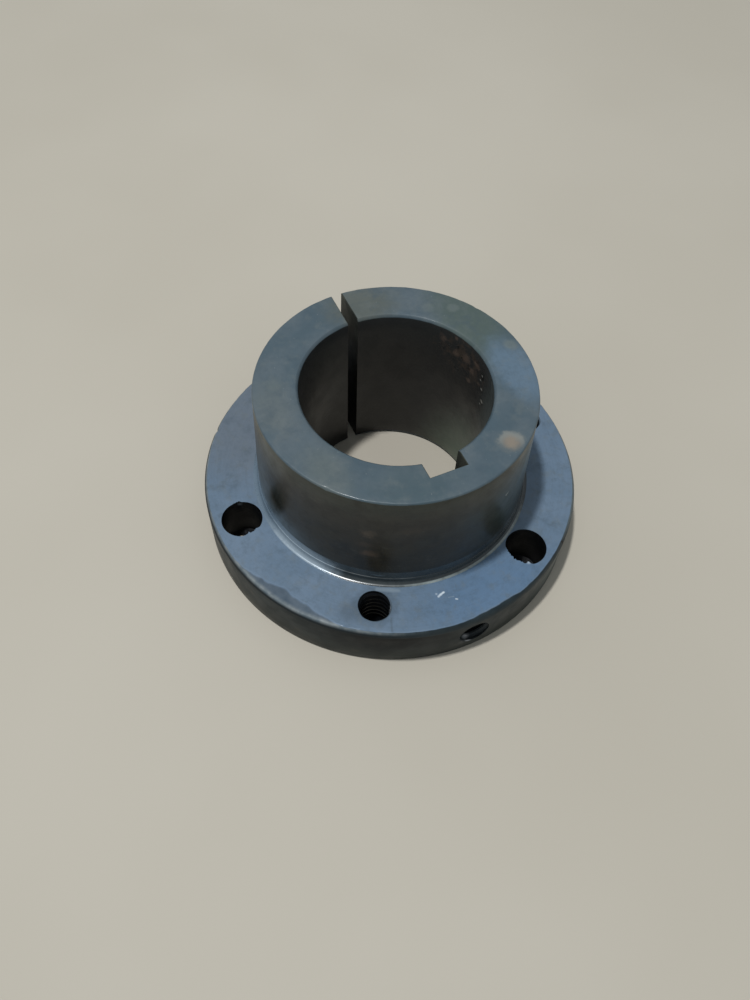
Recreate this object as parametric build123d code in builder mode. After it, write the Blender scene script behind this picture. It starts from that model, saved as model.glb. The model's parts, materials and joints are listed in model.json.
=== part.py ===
"""Flanged split taper bush: one turned piece that clamps a hub onto a keyed shaft.

A round flange carries a conical barrel. Screws through the flange draw the barrel into a hub's
tapered seat, the slot closes, and the bore grips the shaft. The frame's origin is the centre of
the flange's flat face, +Z runs along the bore towards the small end, and +X passes through the
keyway and the set-screw hole.
"""
import os
from math import sqrt

from build123d import *

# Barrel and bore
overall_length = 31.75
bore_diameter = 31.75
barrel_tip_diameter = 46.5
taper_on_diameter = 1 / 16
bore_mouth_chamfer = 0.5
barrel_tip_chamfer = 0.4
barrel_root_fillet = 0.8

# Flange
flange_thickness = 9.5
flange_edge_round = 0.85
flange_base_chamfer = 0.35

# Keyway and slot, on opposite sides of the bore
keyway_width = 6.35
keyway_side_depth = 3.1
slot_width = 1.9
slot_offset = -0.7

# Holes through the flange: plain and tapped ones take turns on one bolt circle
bolt_circle_diameter = 57.15
holes_of_a_kind = 3
clearance_hole_diameter = 7.14
rim_land = 1.6
tapped_hole_diameter = 5.1
tapped_hole_chamfer = 0.25
chamfer_cone_angle = 90

# Set-screw hole from the flange's rim into the keyway
set_screw_hole_diameter = 5.1
set_screw_hole_chamfer = 0.2

# Dependent sizes
bore_radius = bore_diameter / 2
tip_radius = barrel_tip_diameter / 2
root_radius = tip_radius + (overall_length - flange_thickness) * taper_on_diameter / 2
bolt_circle_radius = bolt_circle_diameter / 2
flange_radius = bolt_circle_radius + clearance_hole_diameter / 2 + rim_land
keyway_half_width = keyway_width / 2
keyway_floor = sqrt(bore_radius**2 - keyway_half_width**2) + keyway_side_depth
hole_pitch_angle = 360 / holes_of_a_kind
first_clearance_angle = hole_pitch_angle / 4
first_tapped_angle = first_clearance_angle + hole_pitch_angle / 2
cut_overrun = 1.0


with BuildPart() as taper_bush:
    # The turned form: half of the section through the axis, revolved
    with BuildSketch(Plane.XZ) as section:
        with BuildLine():
            Polyline(
                (bore_radius, 0),
                (flange_radius, 0),
                (flange_radius, flange_thickness),
                (root_radius, flange_thickness),
                (tip_radius, overall_length),
                (bore_radius, overall_length),
                close=True,
            )
        make_face()
        corners = section.vertices()
        rim_base = corners.sort_by_distance((flange_radius, 0))[0]
        rim_top = corners.sort_by_distance((flange_radius, flange_thickness))[0]
        barrel_root = corners.sort_by_distance((root_radius, flange_thickness))[0]
        barrel_tip = corners.sort_by_distance((tip_radius, overall_length))[0]
        bore_mouths = corners.group_by(Axis.X)[0]
        chamfer(bore_mouths, bore_mouth_chamfer)
        chamfer(rim_base, flange_base_chamfer)
        chamfer(barrel_tip, barrel_tip_chamfer)
        fillet(rim_top, flange_edge_round)
        fillet(barrel_root, barrel_root_fillet)
    revolve(axis=Axis.Z)

    # Keyway: broached through the whole length, on the +X side of the bore
    with BuildSketch(Plane.XY):
        Rectangle(keyway_floor, keyway_width, align=(Align.MIN, Align.CENTER))
    extrude(amount=overall_length, mode=Mode.SUBTRACT)

    # Slot: sawn through barrel and flange opposite the keyway, so that the bush can close.
    # The saw ran a little to one side of the axis.
    with BuildSketch(Plane.XY):
        with Locations((0, slot_offset)):
            Rectangle(flange_radius + cut_overrun, slot_width, align=(Align.MAX, Align.CENTER))
    extrude(amount=overall_length, mode=Mode.SUBTRACT)

    # Flange holes, drilled from the face around the barrel
    with Locations(Plane.XY.offset(flange_thickness)):
        with PolarLocations(bolt_circle_radius, holes_of_a_kind, start_angle=first_clearance_angle):
            Hole(clearance_hole_diameter / 2, depth=flange_thickness)
        with PolarLocations(bolt_circle_radius, holes_of_a_kind, start_angle=first_tapped_angle):
            CounterSinkHole(
                tapped_hole_diameter / 2,
                tapped_hole_diameter / 2 + tapped_hole_chamfer,
                depth=flange_thickness,
                counter_sink_angle=chamfer_cone_angle,
            )

    # Set-screw hole: radial, halfway up the flange, open to the keyway's floor
    rim_plane = Plane(
        origin=(flange_radius, 0, flange_thickness / 2), x_dir=(0, 1, 0), z_dir=(1, 0, 0)
    )
    with Locations(rim_plane):
        CounterSinkHole(
            set_screw_hole_diameter / 2,
            set_screw_hole_diameter / 2 + set_screw_hole_chamfer,
            depth=flange_radius - bore_radius,
            counter_sink_angle=chamfer_cone_angle,
        )

taper_bush.part.label = "taper_bush"

os.makedirs("parts", exist_ok=True)
export_step(taper_bush.part, "parts/taper_bush.step")

print("flange diameter", 2 * flange_radius)
print("barrel root diameter", 2 * root_radius)
print("keyway floor from the axis", keyway_floor)
print("volume", taper_bush.part.volume)
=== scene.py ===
"""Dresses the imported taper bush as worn, oiled metal and sets up its floor, lights and camera.

The CAD node is replaced by one finer mesh of the same form. It is lathed from a section whose
edges wear unevenly round the bush, then cut by the keyway, the saw slot, the plain holes and the
threaded holes. Forms are built in millimetres and scaled to metres at the end.
"""
import json
import math

import bmesh
import bpy
from mathutils import Matrix, Vector, noise


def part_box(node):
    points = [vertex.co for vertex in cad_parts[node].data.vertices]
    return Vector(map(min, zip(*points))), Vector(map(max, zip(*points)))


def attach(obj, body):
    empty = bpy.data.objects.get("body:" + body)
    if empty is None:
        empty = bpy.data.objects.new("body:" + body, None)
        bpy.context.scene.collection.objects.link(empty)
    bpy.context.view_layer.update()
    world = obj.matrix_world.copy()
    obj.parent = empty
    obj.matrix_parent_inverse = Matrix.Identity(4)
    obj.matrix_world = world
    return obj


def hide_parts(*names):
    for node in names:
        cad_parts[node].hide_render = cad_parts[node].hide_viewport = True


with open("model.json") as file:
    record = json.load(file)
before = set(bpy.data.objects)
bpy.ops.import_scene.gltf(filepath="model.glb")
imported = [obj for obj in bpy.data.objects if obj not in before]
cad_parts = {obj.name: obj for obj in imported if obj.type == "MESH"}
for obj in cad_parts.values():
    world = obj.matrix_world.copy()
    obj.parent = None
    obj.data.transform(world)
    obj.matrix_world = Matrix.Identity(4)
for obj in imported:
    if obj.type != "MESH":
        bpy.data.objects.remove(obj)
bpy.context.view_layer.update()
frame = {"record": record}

# Sizes from the frame, in millimetres
MM = 0.001
NODE = "taper_bush"
node_low, node_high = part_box(NODE)
mounts = {mount["name"]: mount for mount in frame["record"]["mounts"]}
HEIGHT = node_high.z / MM
BOX_INSET = 0.02
FLANGE_R = min(node_high.x, node_high.y, -node_low.y) / MM - BOX_INSET
FLANGE_T = mounts["hub_face"]["pos_m"][2] / MM
BORE_R = mounts["shaft_bore"]["dims"]["r_mm"]
KEY_FLOOR = mounts["keyway"]["pos_m"][0] / MM
HOLE_CIRCLE_R = mounts["clearance_holes"]["dims"]["pcd_mm"] / 2
CLEAR_R = mounts["clearance_holes"]["dims"]["hole_r_mm"]
TAP_R = mounts["jack_screw_holes"]["dims"]["hole_r_mm"]
SET_SCREW_Z = mounts["set_screw_hole"]["pos_m"][2] / MM

# Sizes of the bush that the frame doesn't state
TIP_R = 23.25
TAPER = 1 / 16
ROOT_R = TIP_R + (HEIGHT - FLANGE_T) * TAPER / 2
ROOT_FILLET = 0.8
BASE_CHAMFER = 0.35
CUT_CHAMFER = 0.1
KEY_WIDTH = 6.35
SLOT_WIDTH = 1.9
SLOT_Y = -0.7
THREAD_PITCH = 1.27
THREAD_MAJOR_R = 3.175
TAP_MOUTH_R = 2.8
SET_MOUTH_R = 2.75
FOOT_LIP_Z = 10.7
CLEAR_ANGLES = (30, 150, 270)
TAP_ANGLES = (90, 210, 330)

LATHE_STEPS = 540
HOLE_STEPS = 96
THREAD_STEPS = 48
WELD = 2e-4
SHARP_DEGREES = 32


# ---------------------------------------------------------------- small geometry helpers

def polar(radius, degrees, z=0.0):
    """A point by its radius, its angle from +X and its height."""
    angle = math.radians(degrees)
    return Vector((radius * math.cos(angle), radius * math.sin(angle), z))


def bump(degrees, centre, spread):
    """A smooth hill of height 1 at one angle, fading over spread degrees each way."""
    gap = (degrees - centre + 180) % 360 - 180
    return math.exp(-(gap / spread) ** 2)


def ripple(degrees, scale, seed):
    """Noise from -1 to 1 that closes on itself round the circle."""
    angle = math.radians(degrees)
    return noise.noise(Vector((scale * math.cos(angle), scale * math.sin(angle), seed)))


def lerp(a, b, count, ends=(True, True)):
    """Points of a straight run in the section, with or without its two ends."""
    first = 0 if ends[0] else 1
    last = count if ends[1] else count - 1
    return [
        (a[0] + (b[0] - a[0]) * k / count, a[1] + (b[1] - a[1]) * k / count)
        for k in range(first, last + 1)
    ]


def arc(centre, radii, start, end, count):
    """Points of an elliptical arc in the section, ends included."""
    points = []
    for k in range(count + 1):
        angle = math.radians(start + (end - start) * k / count)
        points.append((centre[0] + radii[0] * math.cos(angle), centre[1] + radii[1] * math.sin(angle)))
    return points


def new_object(name, mesh_data, material):
    """Makes an object of a bmesh, facing outwards, with one material."""
    bmesh.ops.recalc_face_normals(mesh_data, faces=mesh_data.faces)
    mesh = bpy.data.meshes.new(name)
    mesh_data.to_mesh(mesh)
    mesh_data.free()
    mesh.materials.append(material)
    obj = bpy.data.objects.new(name, mesh)
    bpy.context.scene.collection.objects.link(obj)
    return obj


# ---------------------------------------------------------------- the turned form

def flange_edge(degrees):
    """The flange's worn top edge at one angle, from the rim up and in to the flat face. On one side
    it is knocked flat to a slanted band with a crisp outer line, and on another it is rolled over."""
    wave = 0.12 * ripple(degrees, 9.0, 1.5) + 0.09 * ripple(degrees, 20.0, 4.0)
    width = 0.3 + 2.2 * bump(degrees, -58, 15) + 0.7 * bump(degrees, 5, 11) + 0.4 * bump(degrees, 150, 40)
    corner = 0.42 + 0.06 * ripple(degrees, 30.0, 9.0)
    width = max(width * (1 + wave) + wave, corner + 0.16)
    drop = 0.06 + 0.11 * (width - corner)
    nick = 0.22 * bump(degrees, -128.5, 0.8)
    rim = FLANGE_R - nick
    top = FLANGE_T - 0.5 * nick
    knocked = [
        (rim, top - 0.95),
        (rim - 0.03, top - 0.78),
        (rim - 0.12, top - 0.6),
        (rim - corner + 0.05, top - drop - 0.08),
        (rim - corner - 0.02, top - drop - 0.015),
        (rim - corner - 0.07, top - drop),
    ]
    knocked += lerp(knocked[-1], (rim - width, FLANGE_T), 4, ends=(False, True))
    rolled = arc((rim - width, top - 1.5), (width, 1.5), 0, 90, len(knocked) - 1)
    share = min(1.0, 1.3 * bump(degrees, 12, 26))
    return [
        (k[0] + (r[0] - k[0]) * share, k[1] + (r[1] - k[1]) * share) for k, r in zip(knocked, rolled)
    ]


def tip_edge(degrees):
    """The barrel's outer top edge: a small uneven break."""
    size = 0.34 + 0.1 * ripple(degrees, 12.0, 11.0) + 0.05 * ripple(degrees, 40.0, 3.0)
    chip = 0.22 * bump(degrees, -52, 1.1) + 0.18 * bump(degrees, 12, 0.8) + 0.2 * bump(degrees, 118, 0.9)
    size = max(0.16, size + chip)
    return arc((TIP_R - size, HEIGHT - size), (size, size), 8, 90, 5)


def bore_mouth(degrees, z, side):
    """The chamfer where the bore meets an end face, at height z; side is 1 at the top, -1 below."""
    size = 0.42 + 0.06 * ripple(degrees, 10.0, 21.0 + side)
    run = [
        (BORE_R + size, z),
        (BORE_R + size * 0.9, z - side * size * 0.04),
        (BORE_R + size * 0.08, z - side * size * 0.9),
        (BORE_R, z - side * size * 1.15),
    ]
    return run if side > 0 else run[::-1]


def section(degrees):
    """The whole closed section at one angle, as runs of points with the finish that each run has."""
    root_z = FLANGE_T + ROOT_FILLET
    root_r = TIP_R + (HEIGHT - root_z) * TAPER / 2
    edge = flange_edge(degrees)
    tip = tip_edge(degrees)
    low_mouth = bore_mouth(degrees, 0.0, -1)
    high_mouth = bore_mouth(degrees, HEIGHT, 1)
    lip_r = root_r + 0.1
    fillet = arc((lip_r + ROOT_FILLET, root_z), (ROOT_FILLET, ROOT_FILLET), 270, 180, 7)
    lip_z = FOOT_LIP_Z + 0.08 * ripple(degrees, 3.0, 31.0)
    lip = [
        (lip_r, lip_z),
        (lip_r - 0.02, lip_z + 0.05),
        (lip_r - 0.1, lip_z + 0.085),
        (lip_r - 0.115, lip_z + 0.12),
    ]
    inner = (edge[-1][0] - 0.15, FLANGE_T)
    outer = (fillet[0][0] + 0.08, FLANGE_T)
    return [
        ("face", low_mouth),
        ("face", lerp(low_mouth[-1], (FLANGE_R - BASE_CHAMFER, 0.0), 5, ends=(False, True))),
        ("rim", [(FLANGE_R - 0.1, 0.1), (FLANGE_R, BASE_CHAMFER)]),
        ("rim", lerp((FLANGE_R, BASE_CHAMFER), edge[0], 6, ends=(False, False))),
        ("edge", edge[:-1]),
        ("face", [edge[-1], inner]),
        ("face", lerp(inner, outer, 7, ends=(False, True))),
        ("foot", fillet),
        ("foot", lip),
        ("seat", lerp(lip[-1], tip[0], 12, ends=(False, False))),
        ("face", tip),
        ("face", lerp(tip[-1], high_mouth[0], 6, ends=(False, False))),
        ("face", high_mouth),
        ("bore", lerp(high_mouth[-1], low_mouth[0], 12, ends=(False, False))),
    ]


def lathe(finishes):
    """Turns the section round the axis. A step between two runs takes the finish of the run that
    isn't a plain face."""
    slots = list(finishes)
    form = bmesh.new()
    rings = []
    for step in range(LATHE_STEPS):
        degrees = 360 * step / LATHE_STEPS
        runs = section(degrees)
        rings.append([form.verts.new(polar(r, degrees, z)) for _, run in runs for r, z in run])
    tags = [finish for finish, run in section(0) for _ in run]
    count = len(tags)
    for step in range(LATHE_STEPS):
        here, there = rings[step], rings[(step + 1) % LATHE_STEPS]
        for k in range(count):
            after = (k + 1) % count
            face = form.faces.new((here[k], there[k], there[after], here[after]))
            face.material_index = slots.index(tags[after] if tags[k] == "face" else tags[k])
    bush = new_object("bush_body", form, finishes[slots[0]])
    for name in slots[1:]:
        bush.data.materials.append(finishes[name])
    return bush


# ---------------------------------------------------------------- the tools that cut it

def prism(name, sections, material):
    """A closed cutter lofted through outlines with as many points each: [(z, [(x, y), ...]), ...]."""
    form = bmesh.new()
    rings = [[form.verts.new((x, y, z)) for x, y in outline] for z, outline in sections]
    count = len(rings[0])
    for low, high in zip(rings, rings[1:]):
        for k in range(count):
            form.faces.new((low[k], low[(k + 1) % count], high[(k + 1) % count], high[k]))
    form.faces.new(rings[0])
    form.faces.new(rings[-1])
    return new_object(name, form, material)


def box_outline(x0, x1, y0, y1, grow):
    """A rectangle, grown on every side."""
    return [(x0 - grow, y0 - grow), (x1 + grow, y0 - grow), (x1 + grow, y1 + grow), (x0 - grow, y1 + grow)]


def slit_cutter(name, x0, x1, y0, y1, chamfer, material):
    """A slit right through the bush's height, with its edges broken at both ends."""
    past = 1.0
    levels = [(-past, past + chamfer), (chamfer, 0), (HEIGHT - chamfer, 0), (HEIGHT + past, past + chamfer)]
    return prism(name, [(z, box_outline(x0, x1, y0, y1, grow)) for z, grow in levels], material)


def tube_cutter(name, radius_at, levels, steps, material, pitch=0.0):
    """A closed round cutter along +Z. radius_at(level, degrees, z) gives its radius. With a pitch, each
    level climbs by one pitch a turn, so the levels run as helices."""
    form = bmesh.new()
    columns = []
    for step in range(steps + (1 if pitch else 0)):
        degrees = 360 * step / steps
        climb = pitch * step / steps
        columns.append([
            form.verts.new(polar(radius_at(k, degrees, z + climb), degrees, z + climb))
            for k, z in enumerate(levels)
        ])
    if not pitch:
        columns.append(columns[0])
    for here, there in zip(columns, columns[1:]):
        for k in range(len(levels) - 1):
            form.faces.new((here[k], there[k], there[k + 1], here[k + 1]))
    bmesh.ops.remove_doubles(form, verts=form.verts, dist=1e-4)
    open_edges = [edge for edge in form.edges if edge.is_boundary]
    low_mid = form.verts.new((0, 0, levels[0]))
    high_mid = form.verts.new((0, 0, levels[-1] + pitch))
    middle = (levels[0] + levels[-1]) / 2
    for edge in open_edges:
        height = (edge.verts[0].co.z + edge.verts[1].co.z) / 2
        form.faces.new((edge.verts[0], edge.verts[1], low_mid if height < middle else high_mid))
    return new_object(name, form, material)


def plain_hole(name, centre, burrs, seed, material):
    """A drilled hole through the flange. Burrs are (angle, spread, reach) of metal left at its top edge."""
    top = FLANGE_T
    levels = [-1.0, 0.0, 0.35, 0.8, 3.0, 6.0, top - 0.5, top - 0.25, top - 0.08, top + 0.06, top + 1.0]
    reach_at = [0, 0, 0, 0, 0, 0, 0.15, 0.7, 1.0, 0.95, 0.95]
    exit_burr = [1.0, 1.0, 0.8, 0, 0, 0, 0, 0, 0, 0, 0]

    def radius_at(k, degrees, z):
        torn = noise.noise(Vector((degrees * 0.17, seed + 5.0, 0.0)))
        metal = sum(reach * bump(degrees, angle, spread) for angle, spread, reach in burrs)
        metal += 0.5 * torn * min(1.0, 2.5 * abs(metal))
        uneven = 1 + 0.4 * noise.noise(Vector((degrees * 0.1, seed + 9.0, 0.0)))
        under = (0.45 + 0.65 * bump(degrees, 135, 80)) * uneven
        return CLEAR_R - metal * reach_at[k] - under * exit_burr[k]

    cutter = tube_cutter(name, radius_at, levels, HOLE_STEPS, material)
    cutter.data.transform(Matrix.Translation(centre))
    return cutter


def threaded_hole(name, depth, mouth_r, placement, material):
    """A tapped hole from z = 0 down to -depth, with a chamfered mouth, then put in place by a matrix.
    The thread grows to its full depth over its first turn."""
    past = 1.3
    shape = [(0.0, TAP_R), (0.24, TAP_R), (0.56, THREAD_MAJOR_R), (0.68, THREAD_MAJOR_R)]
    turns = math.ceil((depth + 2 * past) / THREAD_PITCH) + 1
    levels = []
    radii = []
    for turn in range(turns):
        for share, radius in shape:
            levels.append(-depth - past - THREAD_PITCH + (turn + share) * THREAD_PITCH)
            radii.append(radius)

    def radius_at(k, degrees, z):
        fullest = mouth_r + 0.8 * max(0.0, -z)
        at_exit = TAP_R - 0.7 + 0.8 * max(0.0, z + depth)
        return max(min(radii[k], fullest, at_exit), mouth_r + z)

    cutter = tube_cutter(name, radius_at, levels, THREAD_STEPS, material, THREAD_PITCH)
    cutter.data.transform(placement)
    return cutter


def cutters(finishes):
    """Every cutter, in the order that the bush is cut."""
    cut, drilled, thread = finishes["cut"], finishes["drilled"], finishes["thread"]
    half_key = KEY_WIDTH / 2
    yield slit_cutter("keyway_cutter", 2.0, KEY_FLOOR, -half_key, half_key, CUT_CHAMFER, cut)
    slot_low = SLOT_Y - SLOT_WIDTH / 2
    slot_high = slot_low + SLOT_WIDTH
    yield slit_cutter("slot_cutter", -FLANGE_R - 5, -5.0, slot_low, slot_high, CUT_CHAMFER, cut)
    burrs = {
        30: [(-98, 13, 0.32), (-72, 14, 0.42), (-46, 11, 0.5), (-22, 8, 0.62)],
        150: [(200, 14, 0.3), (60, 10, 0.2)],
        270: [(4, 13, 0.42), (27, 8, 0.42), (173, 9, -0.22)],
    }
    for angle in CLEAR_ANGLES:
        centre = polar(HOLE_CIRCLE_R, angle)
        yield plain_hole(f"clear_cutter_{angle}", centre, burrs[angle], angle * 0.1, drilled)
    for angle in TAP_ANGLES:
        turn = Matrix.Rotation(math.radians(angle), 4, "Z")
        place = Matrix.Translation(polar(HOLE_CIRCLE_R, angle, FLANGE_T)) @ turn
        yield threaded_hole(f"tap_cutter_{angle}", FLANGE_T, TAP_MOUTH_R, place, thread)
    place = Matrix.Translation((FLANGE_R, 0, SET_SCREW_Z)) @ Matrix.Rotation(math.radians(90), 4, "Y")
    yield threaded_hole("set_screw_cutter", FLANGE_R - BORE_R, SET_MOUTH_R, place, thread)


def cut_bush(bush, finishes):
    """Subtracts every cutter from the bush and leaves a plain mesh."""
    for cutter in cutters(finishes):
        boolean = bush.modifiers.new(cutter.name, "BOOLEAN")
        boolean.operation = "DIFFERENCE"
        boolean.solver = "EXACT"
        boolean.material_mode = "TRANSFER"
        boolean.object = cutter
        bpy.context.view_layer.objects.active = bush
        bpy.ops.object.modifier_apply(modifier=boolean.name)
        bpy.data.objects.remove(cutter)
    form = bmesh.new()
    form.from_mesh(bush.data)
    bmesh.ops.remove_doubles(form, verts=form.verts, dist=WELD)
    bmesh.ops.dissolve_degenerate(form, edges=form.edges, dist=WELD / 2)
    form.to_mesh(bush.data)
    form.free()
    bush.data.transform(Matrix.Scale(MM, 4))
    bush.data.shade_smooth()
    bush.data.set_sharp_from_angle(angle=math.radians(SHARP_DEGREES))


# ---------------------------------------------------------------- materials

class Graph:
    """Adds shader nodes to one material, so that a recipe reads as one step a line. Places and sizes
    are in millimetres in the bush's own frame."""

    def __init__(self, name):
        self.material = bpy.data.materials.new(name)
        self.material.use_nodes = True
        self.tree = self.material.node_tree
        self.tree.nodes.clear()
        place = self.node("TexCoord").outputs["Object"]
        self.place = self.node("VectorMath", {0: place, "Scale": 1 / MM}, operation="SCALE").outputs[0]
        self.ragged = self.math("SUBTRACT", self.noise(0.9, 3.0), 0.5)
        axes = self.node("SeparateXYZ", {0: self.place})
        self.x, self.y, self.z = axes.outputs
        square_x = self.math("MULTIPLY", self.x, self.x)
        square_y = self.math("MULTIPLY", self.y, self.y)
        self.r = self.math("SQRT", self.math("ADD", square_x, square_y))

    def node(self, kind, inputs=None, **settings):
        node = self.tree.nodes.new("ShaderNode" + kind)
        for key, value in settings.items():
            setattr(node, key, value)
        for key, value in (inputs or {}).items():
            if isinstance(value, bpy.types.NodeSocket):
                self.tree.links.new(value, node.inputs[key])
            else:
                node.inputs[key].default_value = value
        return node

    def noise(self, scale, detail=4.0, rough=0.55, where=None, stretch=(1, 1, 1)):
        """Noise with about scale features a millimetre."""
        mapped = self.node("Mapping", {"Vector": where or self.place, "Scale": stretch})
        inputs = {"Vector": mapped.outputs[0], "Scale": scale, "Detail": detail, "Roughness": rough}
        return self.node("TexNoise", inputs).outputs[0]

    def turned(self, scale, detail=3.0):
        """Noise drawn out round the axis, as a turning tool leaves it."""
        angle = self.math("MULTIPLY", self.math("ARCTAN2", self.y, self.x), 0.8)
        where = self.node("CombineXYZ", {0: self.r, 1: angle, 2: self.z}).outputs[0]
        return self.noise(scale, detail, where=where)

    def ramp(self, value, low, high, out_low=0.0, out_high=1.0):
        inputs = {"Value": value, "From Min": low, "From Max": high, "To Min": out_low, "To Max": out_high}
        return self.node("MapRange", inputs, interpolation_type="SMOOTHSTEP").outputs[0]

    def math(self, operation, a, b=0.0, clamp=False):
        return self.node("Math", {0: a, 1: b}, operation=operation, use_clamp=clamp).outputs[0]

    def times(self, *values):
        result = values[0]
        for value in values[1:]:
            result = self.math("MULTIPLY", result, value)
        return result

    def mix(self, factor, a, b):
        node = self.node("Mix", data_type="RGBA")
        colour_sockets = [s for s in node.inputs if s.type == "RGBA"]
        for socket, value in zip([node.inputs[0]] + colour_sockets, (factor, a, b)):
            if isinstance(value, bpy.types.NodeSocket):
                self.tree.links.new(value, socket)
            else:
                socket.default_value = value
        return [s for s in node.outputs if s.type == "RGBA"][0]

    def cloudy(self, scale, dark, light, **options):
        """Two colours in soft clouds."""
        return self.mix(self.ramp(self.noise(scale, **options), 0.32, 0.68), dark, light)

    def spot(self, centre, radius, soft=0.5, wobble=0.35):
        """A mask round one point, 1 inside and 0 outside, with an uneven edge."""
        size = Vector(radius if isinstance(radius, tuple) else (radius,) * 3)
        shifted = self.node("VectorMath", {0: self.place, 1: Vector(centre)}, operation="SUBTRACT").outputs[0]
        scaled = self.node("VectorMath", {0: shifted, 1: size}, operation="DIVIDE").outputs[0]
        length = self.node("VectorMath", {0: scaled}, operation="LENGTH").outputs["Value"]
        uneven = self.math("ADD", length, self.times(self.ragged, wobble * 2))
        return self.ramp(uneven, 1.0, 1.0 - soft)

    def streak(self, colour, start, end, radius, tint, strength=1.0, soft=0.6, wobble=0.3):
        """The colour with a short streak of another colour between two points."""
        along = Vector(end) - Vector(start)
        shifted = self.node("VectorMath", {0: self.place, 1: Vector(start)}, operation="SUBTRACT").outputs[0]
        onto = {0: shifted, 1: along / along.length_squared}
        reach = self.node("VectorMath", onto, operation="DOT_PRODUCT").outputs["Value"]
        share = self.math("ADD", reach, 0.0, True)
        nearest = self.node("VectorMath", {0: along, "Scale": share}, operation="SCALE").outputs[0]
        gap = self.node("VectorMath", {0: shifted, 1: nearest}, operation="DISTANCE").outputs["Value"]
        uneven = self.math("ADD", self.math("DIVIDE", gap, radius), self.times(self.ragged, wobble * 2))
        return self.mix(self.times(self.ramp(uneven, 1.0, 1.0 - soft), strength), colour, rgb(*tint))

    def stain(self, colour, centre, radius, tint, strength=1.0, soft=0.5, wobble=0.35):
        """The colour with one uneven spot of another colour over it."""
        return self.mix(self.times(self.spot(centre, radius, soft, wobble), strength), colour, rgb(*tint))

    def drop(self, colour, centre, radius, strength=1.0):
        """The colour with a dried drop on it: a dim halo, a pale rim and a middle like the rest."""
        colour = self.stain(colour, centre, radius * 1.7, (0.048, 0.068, 0.078), 0.5 * strength, 0.9, 0.3)
        colour = self.stain(colour, centre, radius, (0.150, 0.178, 0.170), 0.8 * strength, 0.6, 0.3)
        return self.stain(colour, centre, radius * 0.55, (0.092, 0.118, 0.124), 0.8 * strength, 0.9, 0.3)

    def rough(self, scale, low, high):
        """Roughness that drifts between two values."""
        return self.ramp(self.noise(scale, 4.0), 0.3, 0.7, low, high)

    def finish(self, colour, roughness, height, metallic, relief, specular, coat=0.0, coat_roughness=0.15):
        """Joins colour, roughness and height into the surface. Relief is in millimetres."""
        bump_node = self.node("Bump", {"Height": height, "Strength": 1.0, "Distance": relief * MM})
        inputs = {
            "Base Color": colour,
            "Roughness": roughness,
            "Metallic": metallic,
            "Normal": bump_node.outputs[0],
            "Specular IOR Level": specular,
            "Coat Weight": coat,
            "Coat Roughness": coat_roughness,
        }
        shader = self.node("BsdfPrincipled", inputs)
        self.node("OutputMaterial", {"Surface": shader.outputs[0]})
        return self.material


def rgb(red, green, blue):
    return (red, green, blue, 1.0)


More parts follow.
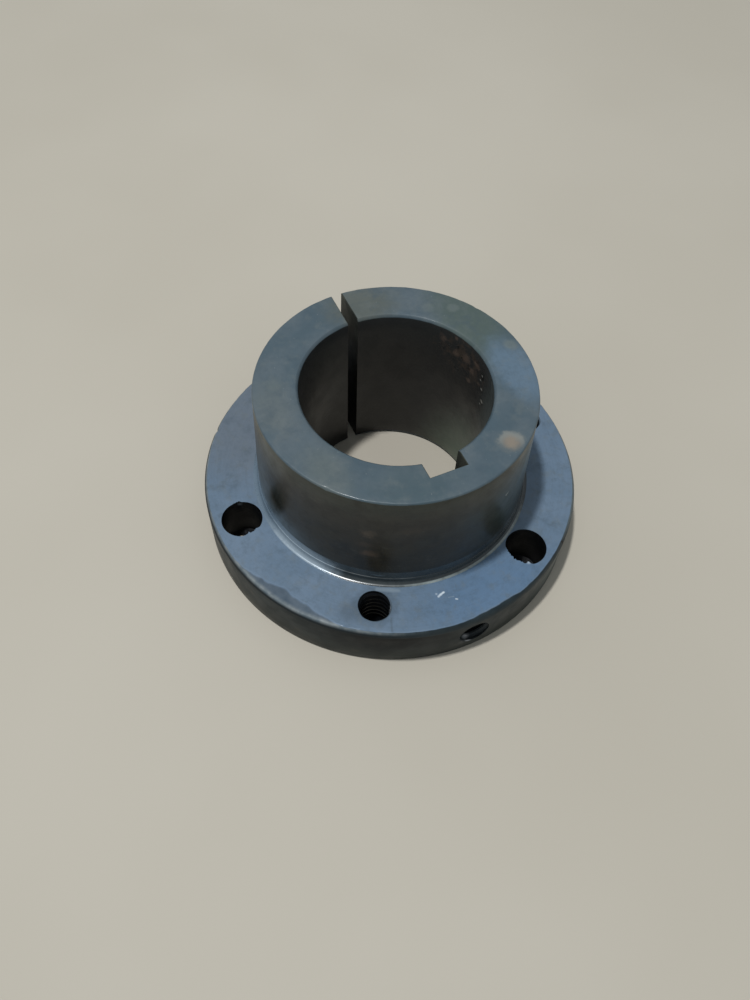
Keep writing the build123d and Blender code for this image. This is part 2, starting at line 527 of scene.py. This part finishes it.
def face_finish():
    """Turned flat faces: blue-grey under an oil film, bluer on the flange, with stains, a tan bloom, and
    painted highlights on the bloom and on a torn burr tip.
    """
    g = Graph("turned_steel")
    end = g.cloudy(0.13, rgb(0.058, 0.092, 0.116), rgb(0.090, 0.120, 0.140), detail=3.0)
    # The small end: greenish at the back, bluer at one side, greyer at the slot's other side
    end = g.stain(end, (-9, 18, HEIGHT), (15, 8, 4), (0.068, 0.096, 0.084), 0.85, 0.7, 0.2)
    end = g.stain(end, (-19, 2, HEIGHT), (7, 9, 4), (0.098, 0.106, 0.085), 0.7, 0.7, 0.2)
    end = g.stain(end, (4.5, 19.8, HEIGHT), (10, 5, 4), (0.108, 0.168, 0.232), 0.85, 0.6, 0.2)
    end = g.stain(end, (12, -17, HEIGHT), (8, 5, 4), (0.098, 0.122, 0.118), 0.6, 0.8, 0.2)
    end = g.stain(end, (-3, -20, HEIGHT), (8, 5, 4), (0.108, 0.130, 0.132), 0.6, 0.8, 0.3)
    end = g.stain(end, (19, -6, HEIGHT), (7, 11, 4), (0.052, 0.086, 0.102), 0.75, 0.8, 0.3)
    flange = g.cloudy(0.12, rgb(0.112, 0.172, 0.245), rgb(0.134, 0.196, 0.274), detail=3.0)
    flange = g.stain(flange, (-22, -16, FLANGE_T), 24, (0.118, 0.146, 0.180), 0.85, 0.6, 0.1)
    flange = g.stain(flange, (30, 6, FLANGE_T), (12, 20, 4), (0.092, 0.172, 0.285), 0.8, 0.8, 0.1)
    front_hole = polar(HOLE_CIRCLE_R, 330, FLANGE_T)
    flange = g.stain(flange, front_hole, (4.6, 4.6, 3), (0.062, 0.096, 0.135), 0.65, 0.5, 0.2)
    flange = g.stain(flange, (24.0, -18.2, FLANGE_T), (3.6, 3.6, 3), (0.062, 0.096, 0.135), 0.7, 0.9, 0.3)
    colour = g.mix(g.ramp(g.z, 20.0, 12.0), end, flange)
    mottle = g.ramp(g.noise(0.42, 4.0, 0.62), 0.48, 0.72, 0.0, 0.34)
    colour = g.mix(mottle, colour, rgb(0.128, 0.150, 0.152))
    shade = g.ramp(g.noise(0.3, 4.0, 0.62, stretch=(1.1, 0.9, 1)), 0.52, 0.78, 0.0, 0.5)
    colour = g.mix(shade, colour, rgb(0.052, 0.080, 0.102))
    fine = g.ramp(g.noise(1.1, 3.0, 0.6), 0.42, 0.7, 0.0, 0.16)
    colour = g.mix(fine, colour, rgb(0.045, 0.068, 0.085))
    turning = g.turned(3.2)
    colour = g.mix(g.ramp(turning, 0.35, 0.75, 0.0, 0.08), colour, rgb(0.05, 0.065, 0.075))
    # Dried drops, and the tan bloom with a painted highlight as a pale crescent on one side
    for x, y, size, strength in (
        (-14.0, 12.6, 1.5, 0.35),
        (-12.3, 16.6, 1.4, 0.45),
        (-0.7, 21.5, 1.6, 0.6),
        (-7.5, -18.0, 1.6, 0.25),
    ):
        colour = g.drop(colour, (x, y, HEIGHT), size, strength)
    bloom = Vector((17.5, 11.5, HEIGHT))
    colour = g.stain(colour, bloom, (2.9, 3.2, 2), (0.120, 0.138, 0.135), 0.7, 0.8, 0.3)
    colour = g.stain(colour, bloom, (2.3, 2.5, 2), (0.225, 0.190, 0.150), 0.9, 0.9, 0.35)
    # The pale crescent is a painted highlight on the bloom
    inside = g.spot(bloom + Vector((0.8, -0.4, 0)), 2.3, 0.5, 0.3)
    painted_highlight_crescent = g.math("SUBTRACT", g.spot(bloom, 2.4, 0.35, 0.3), inside, True)
    colour = g.mix(g.times(painted_highlight_crescent, 0.45), colour, rgb(0.24, 0.26, 0.245))
    # On the flange: an oily smear by the barrel, bright flecks, a painted highlight on a torn burr tip and a
    # scratch
    top = FLANGE_T
    smear = (polar(25.4, -30, top), polar(25.5, -22, top))
    colour = g.streak(colour, *smear, 0.6, (0.185, 0.245, 0.30), 0.75, 0.9)
    for start, end, size, tint, strength, wobble in (
        ((26.95, -2.8, top), (27.15, -3.5, top), 0.26, (0.62, 0.70, 0.76), 0.95, 0.6),
        ((27.1, -3.4, top), (27.3, -3.9, top), 0.32, (0.55, 0.63, 0.70), 0.9, 0.7),
        ((28.85, -1.5, top), (29.0, -1.25, top), 0.15, (0.55, 0.62, 0.68), 0.85, 0.5),
        ((28.1, -2.5, top), (28.3, -1.6, top), 0.14, (0.22, 0.29, 0.36), 0.6, 0.5),
    ):
        colour = g.streak(colour, start, end, size, tint, strength, 0.9, wobble)
    colour = g.stain(colour, (26.75, -4.05, top), 0.34, (0.36, 0.44, 0.52), 0.8, 0.9, 0.6)
    # Painted highlight on the torn burr tip inside the hole at 30 degrees
    colour = g.stain(colour, (27.55, 13.2, top), 0.6, (0.36, 0.43, 0.50), 0.85, 0.9, 0.5)
    colour = nick(g, colour)
    scratch = (polar(30.6, -24.8, top), polar(33.2, -24.5, top))
    colour = g.streak(colour, *scratch, 0.3, (0.06, 0.085, 0.105), 0.4, 0.9, 0.2)
    dust = g.ramp(g.noise(2.6, 2.0, 0.4), 0.74, 0.8)
    colour = g.mix(g.times(dust, 0.35), colour, rgb(0.22, 0.25, 0.26))
    rough = g.rough(0.35, 0.4, 0.52)
    height = g.math("ADD", g.times(turning, 0.4), g.noise(2.2, 4.0))
    return g.finish(colour, rough, height, 0.06, 0.012, specular=0.32, coat=0.16, coat_roughness=0.16)


def nick(g, colour):
    """A dark nick from the flange's top edge down its rim."""
    start, end = polar(33.5, 38.3, 9.3), polar(33.8, 39.6, 7.4)
    return g.streak(colour, start, end, 0.34, (0.006, 0.006, 0.006), 0.95, 0.5, 0.2)


def edge_finish():
    """The flange's worn top edge, coloured with painted shade: a slanted band painted darker, paler at
    its outer line, and painted nearly black where it rolls over."""
    g = Graph("worn_edge")
    # Painted shade: the slanted band is coloured darker than the face, paler at its outer line and nearly
    # black at the steep corner
    light = g.cloudy(0.35, rgb(0.044, 0.070, 0.100), rgb(0.062, 0.092, 0.124))
    outer = g.ramp(g.r, FLANGE_R - 1.2, FLANGE_R - 0.5)
    pale = g.cloudy(0.6, rgb(0.095, 0.125, 0.145), rgb(0.18, 0.205, 0.215))
    light = g.mix(outer, light, pale)
    light = g.mix(g.ramp(g.r, FLANGE_R - 0.42, FLANGE_R - 0.1), light, rgb(0.012, 0.017, 0.020))
    # Painted shade: where the edge rolls over it is coloured nearly black
    dark = g.cloudy(0.4, rgb(0.016, 0.026, 0.032), rgb(0.026, 0.038, 0.044))
    worn = g.mix(g.spot((31, 6, FLANGE_T), 25, 0.5, 0.1), light, dark)
    worn = g.stain(worn, (20, 27.5, FLANGE_T), 9, (0.10, 0.13, 0.14), 0.7, 0.6, 0.1)
    # The painted shade fades in from the face
    flat = g.cloudy(0.12, rgb(0.112, 0.170, 0.245), rgb(0.128, 0.186, 0.262), detail=3.0)
    colour = g.mix(g.ramp(g.math("ADD", g.z, g.times(g.ragged, 0.05)), FLANGE_T, FLANGE_T - 0.07), flat, worn)
    colour = nick(g, colour)
    rough = g.rough(0.8, 0.44, 0.56)
    return g.finish(colour, rough, g.noise(1.4, 3.0), 0.05, 0.008, specular=0.2)


def foot_finish():
    """The fillet at the barrel's foot: blue and wet with oil on one side, brightened there by a painted
    highlight, and dark with a painted highlight as a pale outer line on the other."""
    g = Graph("wet_fillet")
    colour = g.cloudy(0.4, rgb(0.022, 0.030, 0.033), rgb(0.036, 0.046, 0.050))
    # Painted highlight: a pale line along the fillet's outer edge on one side
    line = g.times(g.ramp(g.r, 24.40, 24.58), g.spot((25, 6, 9.6), (14, 18, 6), 0.5, 0.1))
    uneven = g.ramp(g.noise(0.5, 3.0), 0.3, 0.6, 0.5, 1.0)
    colour = g.mix(g.times(line, uneven), colour, rgb(0.25, 0.295, 0.295))
    wet = g.times(g.spot((2, -27, 10), (22, 16, 8), 0.5, 0.1), 0.95)
    colour = g.mix(wet, colour, rgb(0.125, 0.180, 0.235))
    # Painted highlight: a brighter patch that widens the fillet's highlight on the oily side
    colour = g.stain(colour, (11, -22, 10), (11, 8, 4), (0.29, 0.36, 0.42), 0.85, 0.7, 0.2)
    rough = g.rough(0.8, 0.24, 0.36)
    height = g.noise(1.6, 3.0)
    return g.finish(colour, rough, height, 0.15, 0.008, specular=0.4, coat=0.55, coat_roughness=0.19)


def seat_finish():
    """The taper seat: ground and dark, olive under its top edge, brown lower down, with painted reflections:
    paler and greener round one side, blue at the foot and pale up the left edge.
    """
    g = Graph("taper_seat")
    dark, light = rgb(0.016, 0.016, 0.014), rgb(0.030, 0.029, 0.024)
    colour = g.cloudy(0.11, dark, light, detail=5.0, stretch=(1, 1, 1.6))
    # Paler and greener round one side, a painted reflection of the floor, and paler under the top edge
    colour = g.stain(colour, (23, 14, 22), (15, 20, 16), (0.044, 0.066, 0.066), 0.85, 0.9, 0.12)
    colour = g.stain(colour, (17, 19, 28), (8, 9, 16), (0.082, 0.122, 0.130), 0.85, 0.8, 0.12)
    colour = g.stain(colour, (3, -25, 31), (9, 6, 9), (0.085, 0.095, 0.085), 0.75, 0.8, 0.12)
    top = g.ramp(g.math("ADD", g.z, g.times(g.ragged, 3.0)), 26.0, 31.0, 0.0, 0.6)
    colour = g.mix(top, colour, rgb(0.042, 0.053, 0.045))
    # Brown lower down, then the foot, painted blue as a reflection of the flange, strongest to one side
    brown = g.times(g.ramp(g.z, 24.0, 19.0), g.ramp(g.y, 10.0, 0.0), g.ramp(g.z, 11.5, 14.0), 0.8)
    colour = g.mix(brown, colour, rgb(0.037, 0.032, 0.021))
    foot = g.ramp(g.math("ADD", g.z, g.times(g.ragged, 1.2)), 13.2, 10.8)
    colour = g.mix(g.times(foot, 0.7), colour, rgb(0.026, 0.036, 0.041))
    # Painted reflection of the flange's blue, low on the barrel's left side
    side = g.times(g.ramp(g.x, 16.0, 3.0), g.ramp(g.y, -12.0, -20.0), g.ramp(g.z, 18.5, 11.5))
    colour = g.mix(side, colour, rgb(0.125, 0.175, 0.215))
    # Painted reflection: a pale blotch up the barrel's left edge
    colour = g.stain(colour, (-1.5, -24, 18), (5.5, 5, 14), (0.085, 0.100, 0.106), 0.75, 0.8, 0.15)
    # Brown patches, rust spots and the dark blot
    colour = g.stain(colour, (18, -15.5, 18.5), (7, 7, 6), (0.026, 0.023, 0.018), 0.75, 0.8, 0.5)
    for place, size, tint, strength in (
        ((19.6, -13.7, 23.2), (2.0, 2.0, 1.5), (0.078, 0.062, 0.046), 0.8),
        ((19.2, -14.0, 20.2), (1.9, 1.9, 1.0), (0.056, 0.043, 0.032), 0.6),
        ((19.8, -13.6, 17.8), (1.9, 1.9, 1.3), (0.082, 0.060, 0.043), 0.85),
        ((22.4, -7.5, 24.6), (2.6, 3.0, 1.5), (0.044, 0.037, 0.028), 0.6),
        ((23.0, -5.0, 21.0), (1.5, 3.4, 1.6), (0.030, 0.034, 0.030), 0.5),
        ((4.9, -23.2, 20.0), (3.0, 2.4, 6.0), (0.012, 0.016, 0.014), 0.9),
        ((8.2, -22.4, 24.2), (1.6, 1.8, 2.4), (0.046, 0.044, 0.036), 0.6),
        ((21.5, -10.4, 15.6), (2.0, 5.0, 2.2), (0.015, 0.014, 0.012), 0.35),
    ):
        colour = g.stain(colour, place, size, tint, strength, 0.8, 0.45)
    blot = g.ramp(g.noise(0.38, 4.0, 0.62), 0.5, 0.7, 0.0, 0.55)
    colour = g.mix(blot, colour, rgb(0.012, 0.012, 0.010))
    pale = g.ramp(g.noise(0.55, 3.0, 0.6, stretch=(1, 1, 1.3)), 0.56, 0.76, 0.0, 0.4)
    colour = g.mix(pale, colour, rgb(0.060, 0.062, 0.052))
    grind = g.turned(2.4)
    colour = g.mix(g.ramp(grind, 0.4, 0.75, 0.0, 0.2), colour, rgb(0.01, 0.011, 0.011))
    colour = g.streak(colour, (20.95, 10.3, 23.7), (21.3, 9.75, 23.3), 0.2, (0.7, 0.75, 0.75), 0.9)
    colour = g.stain(colour, (13.4, -19.6, 11.6), 0.16, (0.6, 0.65, 0.65), 0.9, 0.5, 0.3)
    dust = g.ramp(g.noise(2.2, 2.0, 0.4), 0.75, 0.8)
    colour = g.mix(g.times(dust, 0.3), colour, rgb(0.1, 0.105, 0.095))
    rough = g.rough(0.3, 0.28, 0.42)
    height = g.math("ADD", g.times(grind, 0.5), g.noise(1.6, 4.0))
    return g.finish(colour, rough, height, 0.12, 0.012, specular=0.34, coat=0.08, coat_roughness=0.2)


def rim_finish():
    """The flange's rim: turned and dark, with a painted dark reflection making it darkest in front of the
    keyway's left.
    """
    g = Graph("flange_rim")
    colour = g.cloudy(0.12, rgb(0.013, 0.021, 0.024), rgb(0.024, 0.034, 0.038), stretch=(1, 1, 2.0))
    low = g.ramp(g.math("ADD", g.z, g.times(g.ragged, 1.5)), 6.0, 0.5)
    colour = g.mix(g.times(low, 0.7), colour, rgb(0.034, 0.039, 0.034))
    # Painted dark reflection on the rim's front
    colour = g.stain(colour, (29, -14, FLANGE_T), (17, 17, 9), (0.003, 0.005, 0.007), 0.95, 0.8, 0.1)
    colour = g.stain(colour, (26, 21, 5), (13, 14, 9), (0.056, 0.076, 0.078), 0.85, 0.8, 0.1)
    grind = g.turned(2.0)
    colour = g.mix(g.ramp(grind, 0.4, 0.75, 0.0, 0.3), colour, rgb(0.008, 0.009, 0.009))
    colour = g.stain(colour, (33.7, -2.0, 2.6), (3, 1.2, 1.0), (0.06, 0.066, 0.068), 0.7, 0.9, 0.2)
    colour = nick(g, colour)
    for place, size in (((20.5, -26.6, 3.2), 1.0), ((12.0, -31.5, 5.5), 0.8), ((27.6, -19.2, 2.4), 0.9)):
        colour = g.stain(colour, place, size, (0.045, 0.043, 0.036), 0.5, 0.8, 0.5)
    rough = g.rough(0.3, 0.36, 0.48)
    height = g.math("ADD", g.times(grind, 0.5), g.noise(1.5, 4.0))
    return g.finish(colour, rough, height, 0.05, 0.012, specular=0.12)


def bore_finish():
    """The bore: near black, with rust and pits high on one side, painted shade low down, and a painted
    greenish reflection of the floor low on one side.
    """
    g = Graph("bore_wall")
    colour = g.cloudy(0.11, rgb(0.0128, 0.0136, 0.0150), rgb(0.0200, 0.0212, 0.0226))
    high = g.ramp(g.math("ADD", g.z, g.times(g.ragged, 2.0)), 20.0, 31.0)
    colour = g.mix(g.times(high, 0.85), colour, rgb(0.036, 0.038, 0.038))
    # Painted shade: darker low down, towards the floor, except on the side with the painted reflection
    low = g.times(g.ramp(g.z, 15.0, 3.0), g.ramp(g.y, 12.0, 6.0))
    colour = g.mix(g.times(low, 0.75), colour, rgb(0.0045, 0.005, 0.0052))
    # Painted reflection of the floor: lighter and greener low on one side and up that side
    colour = g.stain(colour, (2, 16.5, 7), (10, 8, 13), (0.090, 0.122, 0.100), 0.6, 0.9, 0.15)
    colour = g.stain(colour, (-1, 16, -2), (15, 10, 20), (0.130, 0.180, 0.140), 0.95, 1.0, 0.1)
    colour = g.stain(colour, (7, 14.5, 21), (7.5, 6, 18), (0.090, 0.108, 0.106), 0.9, 0.9, 0.2)
    colour = g.stain(colour, (-14.5, -4.5, 19), (4, 4, 8), (0.034, 0.036, 0.036), 0.7, 0.8, 0.3)
    # Rust, pits, and wet specks with painted highlights as glints
    patchy = g.ramp(g.noise(0.5, 4.0, 0.65), 0.44, 0.6)
    rusty = g.spot((-4.5, 15.0, 27.3), (9.5, 5.5, 5.5), 0.8, 0.5)
    colour = g.mix(g.times(rusty, patchy, 0.75), colour, rgb(0.078, 0.058, 0.044))
    for place, size in (
        ((-3.8, 15.4, 27.9), 1.5), ((-1.05, 15.8, 28.6), 1.2), ((-2.1, 15.7, 26.3), 1.1),
        ((-8.7, 13.3, 29.2), 1.1), ((-6.5, 14.5, 30.6), 0.6), ((-2.6, 15.6, 23.4), 0.9),
        ((0.2, 15.9, 25.4), 0.6), ((-6.1, 14.7, 27.2), 1.1),
    ):
        colour = g.stain(colour, place, size, (0.135, 0.098, 0.077), 0.75, 0.9, 0.7)
    for place, size in (
        ((1.0, 15.8, 27.9), 0.9), ((1.4, 15.8, 25.1), 0.9), ((2.3, 15.7, 22.7), 1.0),
        ((1.9, 15.75, 20.8), 0.7),
    ):
        colour = g.stain(colour, place, size, (0.006, 0.006, 0.006), 0.8, 0.7, 0.5)
    # Painted highlights: bright glints on the wet specks
    for place, size in (
        ((0.95, 15.85, 28.0), 0.30), ((1.35, 15.8, 25.2), 0.38), ((2.25, 15.7, 22.9), 0.45),
        ((1.8, 15.75, 21.9), 0.25), ((0.6, 15.85, 26.7), 0.2),
    ):
        colour = g.stain(colour, place, (size * 1.3, size, size), (0.42, 0.42, 0.38), 0.9, 0.9, 0.9)
    pits = g.ramp(g.noise(1.1, 3.0, 0.6), 0.3, 0.42)
    pitted = g.times(rusty, g.math("SUBTRACT", 1.0, pits))
    colour = g.mix(g.times(pitted, 0.8), colour, rgb(0.004, 0.004, 0.004))
    rough = g.rough(0.3, 0.32, 0.46)
    height = g.math("SUBTRACT", g.noise(1.5, 4.0), g.times(pitted, 3.0))
    return g.finish(colour, rough, height, 0.08, 0.03, specular=0.36, coat=0.08, coat_roughness=0.2)


def cut_finish():
    """Sawn slot and broached keyway: grey-green, streaked along the cut, darker with depth."""
    g = Graph("cut_steel")
    colour = g.cloudy(0.25, rgb(0.022, 0.026, 0.023), rgb(0.055, 0.062, 0.050), stretch=(1, 1, 0.25))
    colour = g.mix(g.ramp(g.z, 31.0, 24.0, 0.0, 0.9), colour, rgb(0.013, 0.014, 0.013))
    rough = g.rough(0.3, 0.5, 0.65)
    return g.finish(colour, rough, g.noise(0.9, 3.0, stretch=(1, 1, 4)), 0.05, 0.04, specular=0.2)


def drilled_finish():
    """Walls of the plain holes: near black, brighter at the torn mouth, with a painted highlight high on one
    wall.
    """
    g = Graph("drilled_steel")
    colour = g.cloudy(0.25, rgb(0.003, 0.004, 0.005), rgb(0.007, 0.008, 0.010))
    colour = g.mix(g.ramp(g.z, FLANGE_T - 0.14, FLANGE_T - 0.04), colour, rgb(0.08, 0.11, 0.14))
    # Painted highlight where the far wall's top catches the light
    colour = g.stain(colour, (-3.2, -27.9, 8.9), (0.7, 0.7, 0.6), (0.11, 0.12, 0.13), 0.8, 0.9, 0.6)
    rough = g.rough(0.3, 0.4, 0.55)
    return g.finish(colour, rough, g.noise(0.9, 3.0, stretch=(1, 1, 4)), 0.05, 0.04, specular=0.15)


def thread_finish():
    """Tapped threads: painted black as shade, blue-grey at the mouths, with a painted highlight down the lit
    wall of the front hole and on the set-screw hole's lower lip."""
    g = Graph("thread_steel")
    # Painted shade: the threads are coloured nearly black
    colour = g.cloudy(0.5, rgb(0.003, 0.004, 0.005), rgb(0.006, 0.007, 0.009))
    # Painted highlight: the lit wall of the front hole, made pale and metallic
    wall = g.spot((26.9, -11.5, 4.6), (2.1, 2.1, 9.0), 0.5, 0.1)
    wall = g.times(wall, g.ramp(g.z, FLANGE_T - 0.3, FLANGE_T - 0.7))
    colour = g.mix(wall, colour, rgb(0.72, 0.78, 0.82))
    mouth = g.ramp(g.z, FLANGE_T - 0.38, FLANGE_T - 0.22)
    colour = g.mix(mouth, colour, rgb(0.10, 0.135, 0.17))
    outer = g.times(g.ramp(g.r, 31.0, 33.2), g.ramp(g.z, 6.5, 4.0), g.ramp(g.z, 8.0, 7.0))
    colour = g.mix(outer, colour, rgb(0.045, 0.052, 0.056))
    # Painted highlight on the set-screw hole's lower lip
    colour = g.stain(colour, (33.1, -0.8, 2.3), (1.3, 1.0, 0.9), (0.50, 0.51, 0.52), 0.9, 0.9, 0.2)
    colour = g.stain(colour, (23.3, -16.5, 8.3), 0.2, (0.7, 0.75, 0.8), 0.95, 0.5, 0.3)
    colour = g.stain(colour, (22.9, -16.1, 8.0), 0.2, (0.6, 0.65, 0.7), 0.95, 0.5, 0.3)
    rough = g.rough(0.5, 0.24, 0.36)
    metallic = g.math("ADD", g.times(wall, 0.9), 0.05)
    return g.finish(colour, rough, g.noise(1.5, 3.0), metallic, 0.015, specular=0.05)


def floor_finish():
    """A plain pale floor with a very faint mottle."""
    g = Graph("pale_floor")
    cloud = g.ramp(g.noise(0.009, 3.0), 0.3, 0.7)
    colour = g.mix(cloud, rgb(0.465, 0.432, 0.362), rgb(0.495, 0.462, 0.392))
    shader = g.node("BsdfPrincipled", {"Base Color": colour, "Roughness": 0.75})
    g.node("OutputMaterial", {"Surface": shader.outputs[0]})
    return g.material


# ---------------------------------------------------------------- floor, lights and camera

def add_floor():
    form = bmesh.new()
    bmesh.ops.create_grid(form, x_segments=1, y_segments=1, size=3.0)
    floor = new_object("floor", form, floor_finish())
    floor.location.z = node_low.z


def add_area_light(name, direction, distance, size, power, colour):
    """A square soft light that faces the bush."""
    light = bpy.data.lights.new(name, "AREA")
    light.energy = power
    light.size = size
    light.color = colour
    obj = bpy.data.objects.new(name, light)
    away = Vector(direction).normalized()
    obj.location = away * distance
    obj.rotation_euler = away.to_track_quat("Z", "Y").to_euler()
    bpy.context.scene.collection.objects.link(obj)


def add_lights():
    add_area_light("key", (-0.053, -0.184, 1.0), 0.9, 0.05, 5.3, (1.0, 1.0, 1.0))
    world = bpy.data.worlds.new("studio")
    world.use_nodes = True
    background = world.node_tree.nodes["Background"]
    background.inputs["Color"].default_value = (0.90, 0.96, 1.0, 1.0)
    background.inputs["Strength"].default_value = 0.40
    bpy.context.scene.world = world


def add_camera():
    """The photograph's view: from above, a little to one side of the keyway."""
    azimuth, elevation, roll = math.radians(63.15), math.radians(55.82), math.radians(2.92)
    distance = 0.163
    aim = Vector((-0.0002, -0.0027, node_low.z))
    level = math.cos(elevation)
    back = Vector((math.sin(azimuth) * level, -math.cos(azimuth) * level, math.sin(elevation)))
    camera_data = bpy.data.cameras.new("camera")
    camera_data.lens = 30.65
    camera = bpy.data.objects.new("camera", camera_data)
    turn = back.to_track_quat("Z", "Y").to_matrix().to_4x4() @ Matrix.Rotation(roll, 4, "Z")
    camera.matrix_world = Matrix.Translation(aim + back * distance) @ turn
    bpy.context.scene.collection.objects.link(camera)
    bpy.context.scene.camera = camera


def build():
    finishes = {
        "face": face_finish(),
        "edge": edge_finish(),
        "foot": foot_finish(),
        "rim": rim_finish(),
        "seat": seat_finish(),
        "bore": bore_finish(),
        "cut": cut_finish(),
        "drilled": drilled_finish(),
        "thread": thread_finish(),
    }
    bush = lathe(finishes)
    cut_bush(bush, finishes)
    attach(bush, "root")
    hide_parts(NODE)
    print("triangles", sum(len(p.vertices) - 2 for p in bush.data.polygons))
    add_floor()
    add_lights()
    add_camera()
    bpy.context.scene.view_settings.view_transform = "Standard"


build()
